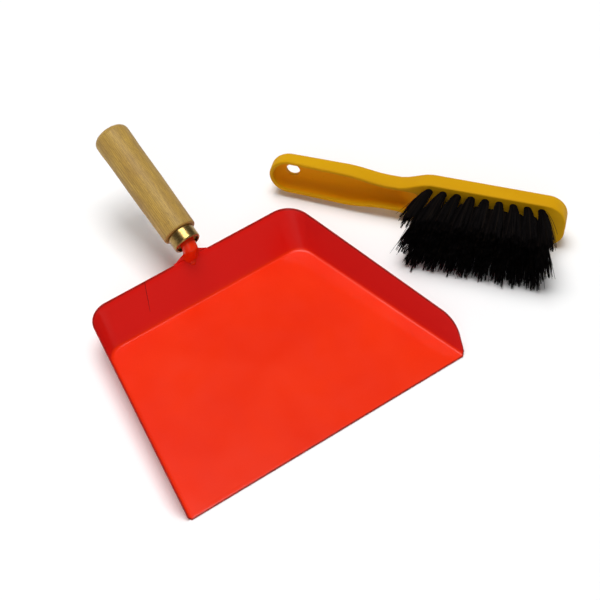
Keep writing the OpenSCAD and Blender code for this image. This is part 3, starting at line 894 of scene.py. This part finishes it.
def channel_rings():
    """Rings down into the handle's channel: a round lip, a wall and a round corner to the floor, which rises
    to the block's face at the channel's far end."""
    side = handle_side()
    middle = np.column_stack([np.maximum(side[:, 0], BRUSH_HANDLE_W / 2), 0 * side[:, 0]])
    handle = side - RIM_T * unit(side - middle)
    end_x = CHANNEL_TO - CHANNEL_END_R
    end_w = handle_half_w(end_x) - RIM_T
    straight = [(x, handle_half_w(x) - RIM_T) for x in np.linspace(handle[-1][0], end_x, 8)[1:]]
    quarter = np.linspace(0, math.pi / 2, 13)[1:]
    stop = [(end_x + CHANNEL_END_R * math.sin(a), end_w * math.cos(a)) for a in quarter]
    outline = mirrored(np.concatenate([handle, straight, stop]))
    x = outline[:, 0]
    face = body_depth(x)
    low = PLATE_T + (face - PLATE_T - CHANNEL_END_H) * smooth(CHANNEL_TO - CHANNEL_RISE, CHANNEL_TO, x)
    corner_r = np.minimum(CHANNEL_FLOOR_R, 0.8 * (face - low))
    rings = []
    for a in np.linspace(0, math.pi / 2, 5):
        z = face - CHANNEL_LIP_R * (1 - math.cos(a))
        rings.append(np.column_stack([inset(outline, -CHANNEL_LIP_R * (1 - math.sin(a))), z]))
    for a in np.linspace(0, math.pi / 2, 9):
        moved = inset(outline, (CHANNEL_DRAFT + corner_r * (1 - math.cos(a)))[:, None])
        rings.append(np.column_stack([moved, low + corner_r * (1 - math.sin(a))]))
    return rings


def tuft_places():
    """Where each tuft's hole is on the block, row by row."""
    places = []
    for row in range(TUFT_ROWS):
        for i in range(ROW_TUFTS - row % 2):
            x = TUFT_FIRST_X + (i + row % 2 / 2) * TUFT_PITCH
            places.append((x, ((TUFT_ROWS - 1) / 2 - row) * ROW_PITCH))
    return places


def drill(piece):
    """Cuts the hanging hole and the tuft holes into the moulding."""
    holes = [(HANG_X, 0, HANG_R, -1, PLATE_T + 1)]
    holes += [(x, y, TUFT_HOLE_R, BLOCK_D - TUFT_HOLE_H, BLOCK_D + 1) for x, y in tuft_places()]
    points, faces = [], []
    for x, y, r, low, high in holes:
        bit, bit_faces = lathe([(0, low), (r, low), (r, high), (0, high)], steps=32)
        faces += [tuple(v + len(points) for v in f) for f in bit_faces]
        points += [[x + p[0], y + p[1], p[2]] for p in bit]
    cutter = mesh_object("cutter", points, faces, ON_BRUSH)
    cut = piece.modifiers.new("holes", "BOOLEAN")
    cut.operation = "DIFFERENCE"
    cut.solver = "EXACT"
    cut.object = cutter
    bpy.context.view_layer.update()
    drilled = bpy.data.meshes.new_from_object(piece.evaluated_get(bpy.context.evaluated_depsgraph_get()))
    piece.modifiers.clear()
    piece.data = drilled
    bpy.data.objects.remove(cutter)


def in_channel(points):
    """Which points, in the brush's own frame, are on the wall or floor of the handle's channel."""
    x, y, z = points.T
    end_r = BRUSH_HANDLE_W / 2
    slack = 0.1
    lip_slack = 0.01
    half_w = np.array([handle_half_w(v) for v in x]) - RIM_T + slack
    inside = (np.hypot(np.minimum(x - end_r, 0), y) < half_w) & (x < CHANNEL_TO + slack)
    return inside & (z > PLATE_T - slack) & (z < body_depth(x) - CHANNEL_LIP_R - lip_slack)


def brush_moulding(material):
    """The yellow moulding: soft back edges, a rim round the handle's channel, and a drilled block."""
    outer, channel = body_rings(), channel_rings()
    n, m = len(outer[0]), len(channel[0])
    side = len(handle_side())
    rim = (len(outer) - 1) * n
    lip = len(outer) * n
    faces = quads(len(outer), n, closed=True)
    faces += [tuple(v + lip for v in f) for f in quads(len(channel), m, closed=True)]
    faces.append(tuple(range(n)))
    low = lip + (len(channel) - 1) * m
    for i in range(m // 2):
        across = (i, i + 1, m - i - 1, (m - i) % m)
        faces.append(tuple(low + v for v in dict.fromkeys(across)))
    for i in range(1 - side, side - 1):
        faces.append((rim + i % n, rim + (i + 1) % n, lip + (i + 1) % m, lip + i % m))
    round_block = [rim + i for i in range(side - 1, n - side + 2)]
    round_stop = [lip + i for i in range(side - 1, m - side + 2)]
    faces.append(tuple(round_block + round_stop[::-1]))
    piece = mesh_object("brush_moulding", np.concatenate(outer + channel), faces, ON_BRUSH)
    drill(piece)
    origin, *axes = (np.asarray(v, float) for v in ON_BRUSH)
    points = (np.array([v.co for v in piece.data.vertices]) / MM - origin) @ np.array(axes).T
    # The channel mask paints the recess more orange, as painted bounce light
    store_mask(piece, "channel", in_channel(points))
    finished(piece, ON_BRUSH, material, "brush", ["brush_body"])


def sunflower(n, r):
    """Points spread evenly over a disc."""
    count = np.arange(n)
    out_r = r * np.sqrt((count + 0.5) / n)
    return np.stack([out_r * np.cos(count * GOLDEN_ANGLE), out_r * np.sin(count * GOLDEN_ANGLE)], 1)


def strand_tips(rng, roots, place, end_share):
    """Where a tuft's strands end and their lengths: fanned out, gathered in small points, a few astray."""
    n = len(roots)
    clumps = sunflower(CLUMPS, TUFT_TIP_R) + rng.normal(0, CLUMP_SHIFT, (CLUMPS, 2))
    squarer = np.abs(unit(roots)).max(1, keepdims=True) ** 0.8
    spread = roots / squarer * TUFT_TIP_R / np.linalg.norm(roots, axis=1).max()
    nearest = np.argmin(np.linalg.norm(spread[:, None] - clumps, axis=-1), axis=1)
    tips = spread + (clumps[nearest] - spread) * CLUMPING + rng.normal(0, STRAND_SPREAD, (n, 2))
    tips += rng.normal(0, STRAY_SPREAD, (n, 2)) * (rng.random(n) < STRAY_SHARE)[:, None]
    row_share = place[1] / (ROW_PITCH * (TUFT_ROWS - 1) / 2)
    lengths = rng.normal(CLUMP_TRIM, CLUMP_LENGTHS, CLUMPS)[nearest] + rng.normal(0, STRAND_LENGTHS, n)
    fan = (FAN_RIGHT if end_share > 0 else FAN_LEFT) * end_share
    return tips + [fan, FAN_ACROSS * row_share], BRISTLE_L * (1 + lengths)


def tuft(index, place, material):
    """One tuft: thin strands from the hole, each with its own length, bow and thickness."""
    rng = np.random.default_rng(FIRST_SEED + index)
    roots = sunflower(STRANDS, TUFT_HOLE_R - BRISTLE_R)
    middle_x = TUFT_FIRST_X + TUFT_PITCH * (ROW_TUFTS - 1) / 2
    tips, length = strand_tips(rng, roots, place, (place[0] - middle_x) / (middle_x - TUFT_FIRST_X))
    bow = rng.normal(0, STRAND_BOW, (STRANDS, 2))
    thick = BRISTLE_R * rng.uniform(0.8, 1.2, STRANDS)
    turn = np.arange(STRAND_SIDES) * 2 * np.pi / STRAND_SIDES
    rings = []
    for k in (STRAND_ROOT, 0, 0.15, 0.3, 0.5, 0.7, 0.85, 1):
        out = max(k, 0)
        centre = place + roots + (tips - roots) * out**0.8 + bow * math.sin(math.pi * out)
        r = thick * (1 - STRAND_TAPER * out**4)
        x = centre[:, :1] + r[:, None] * np.cos(turn)
        y = centre[:, 1:] + r[:, None] * np.sin(turn)
        z = np.repeat((BLOCK_D + length * k)[:, None], STRAND_SIDES, 1)
        rings.append(np.stack([x, y, z], -1))
    points = np.stack(rings, 1)
    # Strands that would go into the ground are moved across the brush until they lie on it
    height = placed(points, ON_BRUSH)[..., 2]
    points[..., 1] += np.maximum(0, BRISTLE_R - height).max(-1, keepdims=True) / ON_BRUSH[2][2]
    strand = quads(len(rings), STRAND_SIDES, closed=True)
    per_strand = len(rings) * STRAND_SIDES
    strand += [tuple(range(STRAND_SIDES)), tuple(range(per_strand - STRAND_SIDES, per_strand))]
    faces = [tuple(v + i * per_strand for v in f) for i in range(STRANDS) for f in strand]
    piece = mesh_object(f"bristles_{index + 1:02d}", points.reshape(-1, 3), faces, ON_BRUSH)
    finished(piece, ON_BRUSH, material, "brush", [f"tuft_{index + 1:02d}"], sharp=75)


# ---- Stage, light and camera ----


def stage_floor(material):
    """A wide plain floor that the set lies on."""
    half = FLOOR_SIZE / 2
    corners = [(x, y, -FLOOR_DROP) for x, y in ((-half, -half), (half, -half), (half, half), (-half, half))]
    mesh = bpy.data.meshes.new("stage_floor")
    mesh.from_pydata(corners, [], [(0, 1, 2, 3)])
    mesh.materials.append(material)
    floor = bpy.data.objects.new("stage_floor", mesh)
    bpy.context.scene.collection.objects.link(floor)


def direction(azimuth, elevation):
    """The direction towards a place round the set. Azimuth 0 is in front of the lip."""
    a, e = math.radians(azimuth), math.radians(elevation)
    return Vector((math.sin(a) * math.cos(e), -math.cos(a) * math.cos(e), math.sin(e)))


def soft_light(name, azimuth, elevation, power):
    """A square area light that points at the set, at an angle in degrees and with a power in watts."""
    data = bpy.data.lights.new(name, "AREA")
    data.size = LIGHT_SIZE
    data.energy = power
    light = bpy.data.objects.new(name, data)
    back = direction(azimuth, elevation)
    light.location = TARGET + back * LIGHT_DISTANCE
    light.rotation_euler = back.to_track_quat("Z", "Y").to_euler()
    bpy.context.scene.collection.objects.link(light)


def sky():
    """A dim grey surround above a pale horizon."""
    world = bpy.data.worlds.new("sky")
    bpy.context.scene.world = world
    world.use_nodes = True
    nodes, links = world.node_tree.nodes, world.node_tree.links
    where = nodes.new("ShaderNodeTexCoord")
    split = nodes.new("ShaderNodeSeparateXYZ")
    ramp = nodes.new("ShaderNodeValToRGB")
    set_stops(ramp.color_ramp.elements, SKY_GREYS)
    links.new(where.outputs["Generated"], split.inputs[0])
    links.new(split.outputs["Z"], ramp.inputs[0])
    links.new(ramp.outputs[0], nodes["Background"].inputs["Color"])


def camera():
    """The camera, at the photographed angle."""
    data = bpy.data.cameras.new("camera")
    data.lens = LENS
    data.sensor_width = SENSOR_W
    data.clip_end = CLIP_END
    piece = bpy.data.objects.new("camera", data)
    back = direction(VIEW_AZIMUTH, VIEW_ELEVATION)
    piece.location = TARGET + back * VIEW_DISTANCE
    turn = back.to_track_quat("Z", "Y") @ Quaternion((0, 0, 1), math.radians(VIEW_ROLL))
    piece.rotation_euler = turn.to_euler()
    bpy.context.scene.collection.objects.link(piece)
    bpy.context.scene.camera = piece


# ---- The scene ----

camera()
sky()
soft_light("overhead", azimuth=180, elevation=81, power=620)
soft_light("fill", azimuth=-40, elevation=35, power=105)
stage_floor(pale_floor())

red = enamel()
pan_tray(red)
handle_tang(red)
tang_rivet(red)
ferrule(brass())
wooden_grip(beech())
brush_moulding(yellow_plastic())
black = bristle()
for number, spot in enumerate(tuft_places()):
    tuft(number, spot, black)
# The anchors keep their CAD mesh
anchors = frame["nodes"]["tuft_anchors"].data
anchors.materials.clear()
anchors.materials.append(drawn_wire())

scene = bpy.context.scene
scene.view_settings.view_transform = "Standard"
